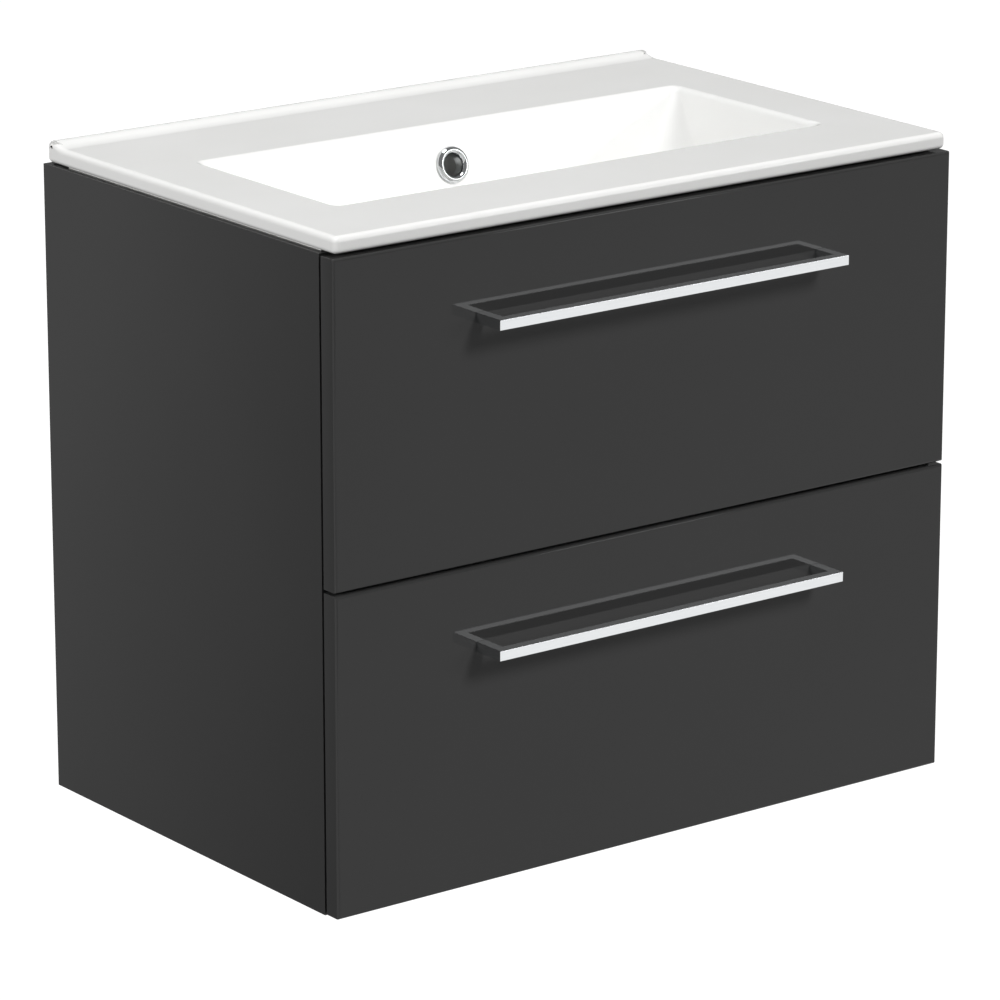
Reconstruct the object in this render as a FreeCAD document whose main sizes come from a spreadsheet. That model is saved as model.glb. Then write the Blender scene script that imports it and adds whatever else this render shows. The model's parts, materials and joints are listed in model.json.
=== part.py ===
import FreeCAD, Part
import Sketcher
import math
import os

# Wall-hung bathroom vanity unit with an inset basin and two drawers.
# Frame: the wall is the plane y = 0, the unit stands out from it towards -Y, +Z is up,
# x = 0 is its middle and z = 0 is the underside of the carcass. Millimetres.

doc = FreeCAD.newDocument("vanity_unit")
Vector = FreeCAD.Vector
Rotation = FreeCAD.Rotation

sizes = [
    # carcass
    ("cabinet_width", 615),
    ("cabinet_depth", 383),
    ("cabinet_height", 528),
    ("board", 16),
    ("upper_rail_height", 100),
    ("upper_rail_setback", 20),
    ("lower_rail_height", 80),
    ("front_rail_depth", 50),
    # drawer fronts
    ("front_thickness", 16),
    ("front_reveal", 2),
    ("front_raise", 1.1),
    ("front_drop", 1.4),
    ("front_gap", 2.5),
    ("front_edge_radius", 2),
    # handles
    ("handle_length", 348),
    ("handle_projection", 31),
    ("handle_height", 8.2),
    ("handle_width", 9),
    ("handle_drop", 65),
    ("handle_edge_radius", 0.6),
    # drawer boxes
    ("box_board", 15),
    ("box_base", 8),
    ("box_raise", 23),
    ("bowl_clearance", 28.6),
    ("handle_clearance", 13.5),
    ("cutout_width", 180),
    ("cutout_front_clear", 18),
    # runners
    ("runner_length", 350),
    ("runner_thickness", 12.7),
    ("runner_set_back", 1),
    ("runner_raise", 31),
    ("runner_half_height", 22.7),
    ("runner_steel", 1.2),
    ("runner_lip", 1.5),
    ("runner_flange", 9.6),
    ("run_gap", 0.3),
    # basin
    ("seal_height", 0.9),
    ("seal_width", 6),
    ("seal_inset", 7),
    ("basin_side_inset", 3.25),
    ("basin_front_inset", 2),
    ("slab", 13.8),
    ("slab_corner_radius", 5),
    ("slab_top_radius", 4),
    ("slab_bottom_radius", 2.5),
    ("lip_height", 3.8),
    ("lip_width", 8),
    ("lip_slope", 12),
    ("lip_cove_radius", 15),
    ("lip_crest_radius", 10),
    ("bowl_width", 482),
    ("bowl_front_margin", 86),
    ("bowl_rear_margin", 126),
    ("bowl_depth", 100),
    ("bowl_wall", 10),
    ("bowl_side_slope", 15),
    ("bowl_end_slope", 30),
    ("bowl_mouth_corner", 5),
    ("bowl_floor_corner", 55),
    ("bowl_mouth_radius", 3.5),
    ("bowl_floor_radius", 12),
    ("waste_radius", 22.5),
    ("waste_length", 45),
    ("waste_boss_radius", 33),
    ("overflow_drop", 34),
    ("overflow_radius", 11.2),
    ("overflow_bore", 20),
    ("channel_width", 30),
    ("channel_depth", 14),
    ("channel_wall", 6),
    # overflow ring
    ("ring_outer_radius", 15.5),
    ("ring_inner_radius", 9),
    ("ring_proud", 4),
    ("ring_shoulder", 3.4),
    ("ring_edge", 1),
    ("ring_collar", 8),
    # wall hanging
    ("hanger_steel", 3),
    ("hanger_back", 45),
    ("hanger_reach", 60),
    ("hanger_height", 60),
    ("hanger_drop", 20),
    ("hook_arm", 7.7),
    ("hook_depth", 12.3),
    ("hook_thickness", 4.2),
    ("hook_wall_gap", 0.5),
    ("notch_slack", 1.5),
    ("cover_margin", 4),
    ("cover_wall", 1.5),
    ("cover_depth", 16),
    ("plate_steel", 2.5),
    ("plate_width", 55),
    ("plate_height", 40),
    ("plate_lip", 20),
    ("plate_hole_radius", 3),
    ("plate_hole_edge", 9),
    ("plate_hole_spacing", 22),
    # joinery and fasteners
    ("fit_gap", 0.1),
    ("dowel_radius", 4),
    ("dowel_length", 30),
    ("dowel_in_side", 12),
    ("rail_dowel_inset", 11),
    ("panel_dowel_inset", 40),
    ("panel_cam_inset", 90),
    ("cam_radius", 7.5),
    ("cam_depth", 12.5),
    ("cam_distance", 24),
    ("cam_bolt_thread", 11),
    ("cam_bolt_radius", 2.5),
    ("cam_bolt_head_radius", 3.5),
    ("cam_bolt_head", 3),
    ("screw_radius", 2),
    ("screw_tip", 3),
    ("pan_radius", 3.8),
    ("pan_height", 2.2),
    ("flat_radius", 3.8),
    ("flat_height", 1.8),
    ("side_screw_length", 13),
    ("box_screw_length", 12),
    ("front_screw_length", 27),
    ("handle_screw_length", 28),
    ("first_runner_screw", 35),
    ("second_runner_screw", 165),
    ("third_runner_screw", 315),
    ("front_screw_inset_x", 60),
    ("front_screw_inset_z", 25),
    ("pad_radius", 5),
    ("pad_inset", 20),
]
sheet = doc.addObject("Spreadsheet::Sheet", "Sizes")
for row, (alias, number) in enumerate(sizes, start=1):
    sheet.set(f"A{row}", alias)
    sheet.set(f"B{row}", str(number))
    sheet.setAlias(f"B{row}", alias)
doc.recompute()

sub_parts = []
turn_to = {
    "+X": Rotation(Vector(0, 1, 0), 90),
    "-X": Rotation(Vector(0, 1, 0), -90),
    "+Y": Rotation(Vector(1, 0, 0), -90),
    "-Y": Rotation(Vector(1, 0, 0), 90),
    "+Z": Rotation(),
    "-Z": Rotation(Vector(1, 0, 0), 180),
}


def number(expression):
    return float(sheet.evalExpression(str(expression)))


def keep(thing):
    sub_parts.append(thing)
    return thing


def along(point, axis, distance):
    # the point moved along an axis such as "-Y"
    moved = list(point)
    index = "XYZ".index(axis[1])
    moved[index] = f"({point[index]}) {axis[0]} ({distance})"
    return tuple(moved)


def place(thing, point):
    for letter, expression in zip("xyz", point):
        thing.setExpression(f"Placement.Base.{letter}", str(expression))


def block(name, x, y, z):
    # a straight-sided bar or board, each axis given as (low, high)
    box = doc.addObject("Part::Box", name)
    for size, (low, high) in zip(("Length", "Width", "Height"), (x, y, z)):
        box.setExpression(size, f"({high}) - ({low})")
    place(box, (x[0], y[0], z[0]))
    return box


def rod(name, radius, start, axis, length):
    cylinder = doc.addObject("Part::Cylinder", name)
    cylinder.setExpression("Radius", str(radius))
    cylinder.setExpression("Height", str(length))
    cylinder.Placement = FreeCAD.Placement(Vector(), turn_to[axis])
    place(cylinder, start)
    return cylinder


def taper(name, first_radius, second_radius, start, axis, length):
    cone = doc.addObject("Part::Cone", name)
    cone.setExpression("Radius1", str(first_radius))
    cone.setExpression("Radius2", str(second_radius))
    cone.setExpression("Height", str(length))
    cone.Placement = FreeCAD.Placement(Vector(), turn_to[axis])
    place(cone, start)
    return cone


def union(name, pieces):
    joined = doc.addObject("Part::MultiFuse", name)
    joined.Shapes = pieces
    return joined


def group(name, pieces):
    # separate solids that share one name, such as a set of screws
    together = doc.addObject("Part::Compound", name)
    together.Links = pieces
    return together


def cut(name, blank, holes):
    drilled = doc.addObject("Part::Cut", name)
    drilled.Base = blank
    drilled.Tool = holes
    return drilled


def new_body(name):
    return doc.addObject("PartDesign::Body", name)


def new_sketch(body, name, role, offset):
    # a sketch on one of the body's own origin planes, moved along the plane's normal
    sketch = body.newObject("Sketcher::SketchObject", name)
    plane = next(item for item in body.Origin.OriginFeatures if item.Role == role)
    sketch.AttachmentSupport = (plane, [""])
    sketch.MapMode = "FlatFace"
    sketch.setExpression("AttachmentOffset.Base.z", str(offset))
    return sketch


def fix_point(sketch, geometry, end, x, y):
    for kind, expression in (("DistanceX", x), ("DistanceY", y)):
        if expression is not None:
            limit = Sketcher.Constraint(kind, -1, 1, geometry, end, number(expression))
            index = sketch.addConstraint(limit)
            sketch.setExpression(f"Constraints[{index}]", str(expression))


def polygon(sketch, points):
    # a closed outline of straight lines whose corners are all tied to the sizes
    spots = [Vector(number(x), number(y), 0) for x, y in points]
    count = len(spots)
    for index in range(count):
        sketch.addGeometry(Part.LineSegment(spots[index], spots[(index + 1) % count]), False)
    for index in range(count):
        sketch.addConstraint(Sketcher.Constraint("Coincident", index, 2, (index + 1) % count, 1))
    for index, (x, y) in enumerate(points):
        fix_point(sketch, index, 1, x, y)


def rounded_rectangle(sketch, x, y, radius):
    # four lines, then the four corner arcs between them
    x_low, x_high, y_low, y_high = number(x[0]), number(x[1]), number(y[0]), number(y[1])
    r = number(radius)
    corners = [
        Vector(x_high - r, y_low + r, 0),
        Vector(x_high - r, y_high - r, 0),
        Vector(x_low + r, y_high - r, 0),
        Vector(x_low + r, y_low + r, 0),
    ]
    outward = [Vector(0, -r, 0), Vector(r, 0, 0), Vector(0, r, 0), Vector(-r, 0, 0)]
    quarter = math.radians(90)
    for side in range(4):
        start = corners[side - 1] + outward[side]
        end = corners[side] + outward[side]
        sketch.addGeometry(Part.LineSegment(start, end), False)
    for side in range(4):
        circle = Part.Circle(corners[side], Vector(0, 0, 1), r)
        sketch.addGeometry(Part.ArcOfCircle(circle, (side - 1) * quarter, side * quarter), False)
    for side in range(4):
        arc = 4 + side
        sketch.addConstraint(Sketcher.Constraint("Tangent", side, 2, arc, 1))
        sketch.addConstraint(Sketcher.Constraint("Tangent", arc, 2, (side + 1) % 4, 1))
        sketch.addConstraint(Sketcher.Constraint("Vertical" if side % 2 else "Horizontal", side))
    for arc in (5, 6, 7):
        sketch.addConstraint(Sketcher.Constraint("Equal", 4, arc))
    index = sketch.addConstraint(Sketcher.Constraint("Radius", 4, r))
    sketch.setExpression(f"Constraints[{index}]", str(radius))
    fix_point(sketch, 0, 1, None, y[0])
    fix_point(sketch, 1, 1, x[1], None)
    fix_point(sketch, 2, 1, None, y[1])
    fix_point(sketch, 3, 1, x[0], None)


def pad(body, sketch, length, symmetric=False):
    extrusion = body.newObject("PartDesign::Pad", sketch.Name + "_pad")
    extrusion.Profile = sketch
    extrusion.setExpression("Length", str(length))
    if symmetric:
        extrusion.SideType = "Symmetric"
    doc.recompute()
    return extrusion


def fillet(body, feature, radius, wanted):
    # rounds each edge of the feature that the test wants
    names = []
    for index, edge in enumerate(feature.Shape.Edges, start=1):
        if wanted(edge):
            names.append(f"Edge{index}")
    rounding = body.newObject("PartDesign::Fillet", feature.Name + "_round")
    rounding.Base = (feature, names)
    rounding.setExpression("Radius", str(radius))
    doc.recompute()
    return rounding


def lies_at(edge, axis, place_expression):
    # true where the whole edge lies in the plane across the axis at that place
    low = getattr(edge.BoundBox, axis + "Min")
    high = getattr(edge.BoundBox, axis + "Max")
    spot = number(place_expression)
    return abs(low - spot) < 0.01 and abs(high - spot) < 0.01


def screw(name, bearing, axis, length, flat=False):
    # bearing is the middle of the surface under a pan head, or level with a flat head's top
    shank_end = f"{length} - Sizes.screw_tip"
    if flat:
        head = taper(name + "_head", "Sizes.flat_radius", "Sizes.screw_radius", bearing, axis,
                     "Sizes.flat_height")
    else:
        head = rod(name + "_head", "Sizes.pan_radius", along(bearing, axis, "-Sizes.pan_height"), axis,
                   "Sizes.pan_height")
    shank = rod(name + "_shank", "Sizes.screw_radius", bearing, axis, shank_end)
    tip = taper(name + "_tip", "Sizes.screw_radius", "Sizes.screw_radius / 4",
                along(bearing, axis, shank_end), axis, "Sizes.screw_tip")
    return union(name, [head, shank, tip])


def screw_hole(name, bearing, axis, length, flat=False):
    wide = "Sizes.screw_radius + Sizes.fit_gap"
    hole = rod(name, wide, bearing, axis, f"{length} + Sizes.fit_gap")
    if not flat:
        return hole
    sink = taper(name + "_sink", "Sizes.flat_radius + Sizes.fit_gap", wide, bearing, axis, "Sizes.flat_height")
    return union(name + "_flat", [hole, sink])


# ---- places that several sub-parts share, as expressions ----
half_width = "(Sizes.cabinet_width / 2)"
inner_half = f"({half_width} - Sizes.board)"
carcass_front = "(-Sizes.cabinet_depth)"
carcass_top = "Sizes.cabinet_height"
front_back = "(-Sizes.cabinet_depth - Sizes.front_reveal)"
front_face = f"({front_back} - Sizes.front_thickness)"
fronts_height = "(Sizes.cabinet_height - Sizes.front_drop - Sizes.front_raise)"
front_height = f"(({fronts_height} - Sizes.front_gap) / 2)"
upper_rail_back = "(-Sizes.upper_rail_setback)"
upper_rail_front = f"({upper_rail_back} - Sizes.board)"
upper_rail_bottom = f"({carcass_top} - Sizes.upper_rail_height)"
lower_rail_top = "(Sizes.board + Sizes.lower_rail_height)"
front_rail_bottom = f"({carcass_top} - Sizes.board)"
front_rail_back = f"({carcass_front} + Sizes.front_rail_depth)"
slab_bottom = f"({carcass_top} + Sizes.seal_height)"
deck = f"({slab_bottom} + Sizes.slab)"
basin_half = f"({half_width} - Sizes.basin_side_inset)"
basin_front = f"({front_face} + Sizes.basin_front_inset)"
bowl_half = "(Sizes.bowl_width / 2)"
bowl_front = f"({basin_front} + Sizes.bowl_front_margin)"
bowl_rear = "(-Sizes.bowl_rear_margin)"
bowl_floor = f"({deck} - Sizes.bowl_depth)"
waste_y = f"(({bowl_front} + {bowl_rear}) / 2)"
overflow_z = f"({deck} - Sizes.overflow_drop)"
wall_slope = "(Sizes.bowl_end_slope / Sizes.bowl_depth)"
wall_tilt = f"atan({wall_slope})"
overflow_wall_y = f"({bowl_rear} - {wall_slope} * Sizes.overflow_drop)"
runner_front = f"({carcass_front} + Sizes.runner_set_back)"
runner_back = f"({runner_front} + Sizes.runner_length)"
box_half = f"({inner_half} - Sizes.runner_thickness)"
cutout_half = "(Sizes.cutout_width / 2)"
cutout_clear = f"({waste_y} - Sizes.waste_boss_radius - Sizes.cutout_front_clear)"
hanger_top = f"({carcass_top} - Sizes.hanger_drop)"
hook_rest = f"({hanger_top} - Sizes.hook_arm)"

levels = {
    "lower": "Sizes.front_raise",
    "upper": f"(Sizes.front_raise + {front_height} + Sizes.front_gap)",
}
sides = {"left": "-", "right": "+"}
runner_screws = ("Sizes.first_runner_screw", "Sizes.second_runner_screw", "Sizes.third_runner_screw")


def towards(side, distance):
    # an x place at a distance from the middle, on the left or on the right
    return f"({sides[side]}({distance}))"


def span(side, near, far):
    # the (low, high) pair in x between two distances from the middle
    if side == "left":
        return (f"-({far})", f"-({near})")
    return (near, far)


def outwards(side):
    return sides[side] + "X"


def inwards(side):
    return "+X" if side == "left" else "-X"


def box_bottom(level):
    return f"({levels[level]} + Sizes.box_raise)"


def runner_z(level):
    return f"({box_bottom(level)} + Sizes.runner_raise)"


def handle_z(level):
    return f"({levels[level]} + {front_height} - Sizes.handle_drop)"


def box_top(level):
    # the upper box passes under the bowl, and the lower one stops short of its handle's screws
    if level == "upper":
        return f"({bowl_floor} - Sizes.bowl_wall - Sizes.bowl_clearance)"
    return f"({handle_z(level)} - Sizes.handle_clearance)"


# ---- joinery of the carcass: dowels and cam fittings at both ends of each crossing board ----
panel_middle = "(Sizes.board / 2)"
upper_rail_middle = f"({upper_rail_back} - Sizes.board / 2)"
lower_rail_middle = "(-Sizes.board / 2)"
front_rail_middle = f"({carcass_top} - Sizes.board / 2)"
dowel_sites = [
    ("-Sizes.panel_dowel_inset", panel_middle),
    (f"{carcass_front} + Sizes.panel_dowel_inset", panel_middle),
    (upper_rail_middle, f"{upper_rail_bottom} + Sizes.rail_dowel_inset"),
    (upper_rail_middle, f"{carcass_top} - Sizes.rail_dowel_inset"),
    (lower_rail_middle, "Sizes.board + Sizes.rail_dowel_inset"),
    (lower_rail_middle, f"{lower_rail_top} - Sizes.rail_dowel_inset"),
    (f"{carcass_front} + Sizes.rail_dowel_inset", front_rail_middle),
    (f"{front_rail_back} - Sizes.rail_dowel_inset", front_rail_middle),
]
# each cam: its y and z on the board's middle plane, and the way that the disc is pressed in
cam_sites = [
    ("-Sizes.panel_cam_inset", panel_middle, "-Z"),
    (f"{carcass_front} + Sizes.panel_cam_inset", panel_middle, "-Z"),
    (upper_rail_middle, f"({upper_rail_bottom} + {carcass_top}) / 2", "+Y"),
    (lower_rail_middle, f"(Sizes.board + {lower_rail_top}) / 2", "+Y"),
    (f"({carcass_front} + {front_rail_back}) / 2", front_rail_middle, "+Z"),
]


def carcass_joinery():
    dowels, bolts, discs, holes = [], [], [], []
    for side in sides:
        face_x = towards(side, inner_half)
        for count, (y, z) in enumerate(dowel_sites):
            name = f"{side}_dowel_{count}"
            start = along((face_x, y, z), outwards(side), "Sizes.dowel_in_side")
            dowels.append(rod(name, "Sizes.dowel_radius", start, inwards(side), "Sizes.dowel_length"))
            start = along(start, outwards(side), "Sizes.fit_gap")
            holes.append(rod(name + "_hole", "Sizes.dowel_radius + Sizes.fit_gap", start, inwards(side),
                             "Sizes.dowel_length + 2 * Sizes.fit_gap"))
        for count, (y, z, press) in enumerate(cam_sites):
            name = f"{side}_cam_{count}"
            thread_end = along((face_x, y, z), outwards(side), "Sizes.cam_bolt_thread")
            neck = "(Sizes.cam_bolt_thread + Sizes.cam_distance - Sizes.cam_bolt_head)"
            stem = rod(name + "_stem", "Sizes.cam_bolt_radius", thread_end, inwards(side), neck)
            head = rod(name + "_head", "Sizes.cam_bolt_head_radius", along(thread_end, inwards(side), neck),
                       inwards(side), "Sizes.cam_bolt_head")
            bolts.append(union(name + "_bolt", [stem, head]))
            centre = along((face_x, y, z), inwards(side), "Sizes.cam_distance")
            mouth = along(centre, press, "-Sizes.board / 2")
            disc = rod(name + "_disc_blank", "Sizes.cam_radius", mouth, press, "Sizes.cam_depth")
            slot_start = along((face_x, y, z), outwards(side), "Sizes.cam_bolt_thread + Sizes.fit_gap")
            slot_length = "(Sizes.cam_bolt_thread + Sizes.cam_distance + 2 * Sizes.fit_gap)"
            slot = rod(name + "_slot", "Sizes.cam_bolt_head_radius + Sizes.fit_gap", slot_start, inwards(side),
                       slot_length)
            discs.append(cut(name + "_disc", disc, slot))
            pocket = rod(name + "_pocket", "Sizes.cam_radius + Sizes.fit_gap", mouth, press,
                         "Sizes.cam_depth + Sizes.fit_gap")
            holes.append(union(name + "_hole", [pocket, slot]))
    keep(group("carcass_dowels", dowels))
    keep(group("cam_bolts", bolts))
    keep(group("cam_discs", discs))
    return holes


def hanger_screw_sites(side):
    face_x = towards(side, f"{inner_half} - Sizes.hanger_steel")
    near = "(-Sizes.hanger_back - Sizes.hanger_reach / 4)"
    far = "(-Sizes.hanger_back - Sizes.hanger_reach * 3 / 4)"
    z = f"({hanger_top} - Sizes.hanger_height * 3 / 4)"
    return [(face_x, near, z), (face_x, far, z)]


def cabinet_member_screw_sites(level, side):
    x = towards(side, f"{inner_half} - Sizes.runner_steel")
    return [(x, f"{runner_front} + {step}", runner_z(level)) for step in runner_screws]


def side_panel_holes(side):
    holes = []
    for count, site in enumerate(hanger_screw_sites(side)):
        holes.append(screw_hole(f"{side}_hanger_hole_{count}", site, outwards(side),
                                "Sizes.side_screw_length"))
    for level in levels:
        for count, site in enumerate(cabinet_member_screw_sites(level, side)):
            holes.append(screw_hole(f"{level}_{side}_member_hole_{count}", site, outwards(side),
                                    "Sizes.side_screw_length", flat=True))
    return holes


def hook_notch(side):
    # the slot in the end of the upper rail that the hanger's arm passes through
    slack = "Sizes.notch_slack"
    x = span(side, f"{inner_half} - Sizes.hanger_steel - {slack}", f"{inner_half} + {slack}")
    y = (f"{upper_rail_front} - {slack}", f"{upper_rail_back} + {slack}")
    z = (f"{hook_rest} - {slack}", f"{hanger_top} + {slack}")
    return block(f"{side}_hook_notch", x, y, z)


def carcass():
    joinery_holes = carcass_joinery()
    member_holes = {side: side_panel_holes(side) for side in sides}
    between = (f"-{inner_half}", inner_half)
    full_depth = (carcass_front, "0")
    for side in sides:
        blank = block(f"{side}_side_panel_blank", span(side, inner_half, half_width), full_depth,
                      ("0", carcass_top))
        holes = union(f"{side}_side_panel_holes", joinery_holes + member_holes[side])
        keep(cut(f"{side}_side_panel", blank, holes))
    boards = {
        "bottom_panel": (full_depth, ("0", "Sizes.board")),
        "upper_back_rail": ((upper_rail_front, upper_rail_back), (upper_rail_bottom, carcass_top)),
        "lower_back_rail": (("-Sizes.board", "0"), ("Sizes.board", lower_rail_top)),
        "front_top_rail": ((carcass_front, front_rail_back), (front_rail_bottom, carcass_top)),
    }
    for name, (y, z) in boards.items():
        holes = list(joinery_holes)
        if name == "upper_back_rail":
            holes += [hook_notch(side) for side in sides]
        blank = block(name + "_blank", between, y, z)
        keep(cut(name, blank, union(name + "_holes", holes)))
    return member_holes


# ---- wall hangers ----
def hangers():
    screws = []
    for side in sides:
        body = new_body(f"{side}_hanger_blank")
        near = inner_half if side == "right" else f"-({inner_half} - Sizes.hanger_steel)"
        plate_front = "(-Sizes.hanger_back - Sizes.hanger_reach)"
        hook_back = "-Sizes.hook_wall_gap"
        hook_front = "(-Sizes.hook_wall_gap - Sizes.hook_thickness)"
        outline = new_sketch(body, f"{side}_hanger_outline", "YZ_Plane", near)
        polygon(outline, [
            (plate_front, f"{hanger_top} - Sizes.hanger_height"),
            ("-Sizes.hanger_back", f"{hanger_top} - Sizes.hanger_height"),
            ("-Sizes.hanger_back", hook_rest),
            (hook_front, hook_rest),
            (hook_front, f"{hook_rest} - Sizes.hook_depth"),
            (hook_back, f"{hook_rest} - Sizes.hook_depth"),
            (hook_back, hanger_top),
            (plate_front, hanger_top),
        ])
        plate = pad(body, outline, "Sizes.hanger_steel")
        plate.Reversed = True
        holes = []
        for count, site in enumerate(hanger_screw_sites(side)):
            name = f"{side}_hanger_screw_{count}"
            screws.append(screw(name, site, outwards(side), "Sizes.side_screw_length"))
            holes.append(screw_hole(name + "_hole", site, outwards(side), "Sizes.side_screw_length"))
        keep(cut(f"{side}_hanger", body, group(f"{side}_hanger_holes", holes)))
        hanger_cover(side)
        wall_plate(side)
    keep(group("hanger_screws", screws))


def hanger_cover(side):
    # a moulded cap over the hanger, open towards the side panel and slotted for the arm
    margin = "Sizes.cover_margin"
    y = (f"-Sizes.hanger_back - Sizes.hanger_reach - {margin}", f"-Sizes.hanger_back + {margin}")
    z = (f"{hanger_top} - Sizes.hanger_height - {margin}", f"{hanger_top} + {margin}")
    shell = block(f"{side}_cover_shell", span(side, f"{inner_half} - Sizes.cover_depth", inner_half), y, z)
    wall = "Sizes.cover_wall"
    hollow = block(
        f"{side}_cover_hollow",
        span(side, f"{inner_half} - Sizes.cover_depth + {wall}", f"{inner_half} + {wall}"),
        (f"{y[0]} + {wall}", f"{y[1]} - {wall}"),
        (f"{z[0]} + {wall}", f"{z[1]} - {wall}"),
    )
    slack = "Sizes.notch_slack"
    slot = block(
        f"{side}_cover_slot",
        span(side, f"{inner_half} - Sizes.hanger_steel - {slack}", f"{inner_half} + {wall}"),
        ("-Sizes.hanger_back", f"{y[1]} + {wall}"),
        (f"{hook_rest} - {slack}", f"{hanger_top} + {slack}"),
    )
    keep(cut(f"{side}_hanger_cover", shell, union(f"{side}_cover_space", [hollow, slot])))


def wall_plate(side):
    # a joggled strip: flat on the wall below, standing off it above as the lip that the hook drops behind
    body = new_body(f"{side}_wall_plate_blank")
    steel = "Sizes.plate_steel"
    lip_top = f"({hook_rest} - Sizes.run_gap)"
    joggle = f"({lip_top} - Sizes.plate_lip)"
    lip_back = "(-Sizes.hook_wall_gap - Sizes.hook_thickness - Sizes.run_gap)"
    start = f"{inner_half} - Sizes.run_gap"
    if side == "left":
        start = f"-({inner_half} - Sizes.run_gap - Sizes.plate_width)"
    outline = new_sketch(body, f"{side}_wall_plate_outline", "YZ_Plane", start)
    polygon(outline, [
        (f"-{steel}", f"{joggle} - Sizes.plate_height"),
        ("0", f"{joggle} - Sizes.plate_height"),
        ("0", f"{joggle} + {steel}"),
        (lip_back, f"{joggle} + {steel}"),
        (lip_back, lip_top),
        (f"{lip_back} - {steel}", lip_top),
        (f"{lip_back} - {steel}", joggle),
        (f"-{steel}", joggle),
    ])
    strip = pad(body, outline, "Sizes.plate_width")
    strip.Reversed = True
    x = towards(side, f"{inner_half} - Sizes.run_gap - Sizes.plate_width / 2")
    low = f"{joggle} - Sizes.plate_height + Sizes.plate_hole_edge"
    holes = []
    for count, z in enumerate((low, f"{low} + Sizes.plate_hole_spacing")):
        holes.append(rod(f"{side}_wall_plate_hole_{count}", "Sizes.plate_hole_radius", (x, "0", z), "-Y",
                         f"2 * {steel}"))
    keep(cut(f"{side}_wall_plate", body, group(f"{side}_wall_plate_holes", holes)))


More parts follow.
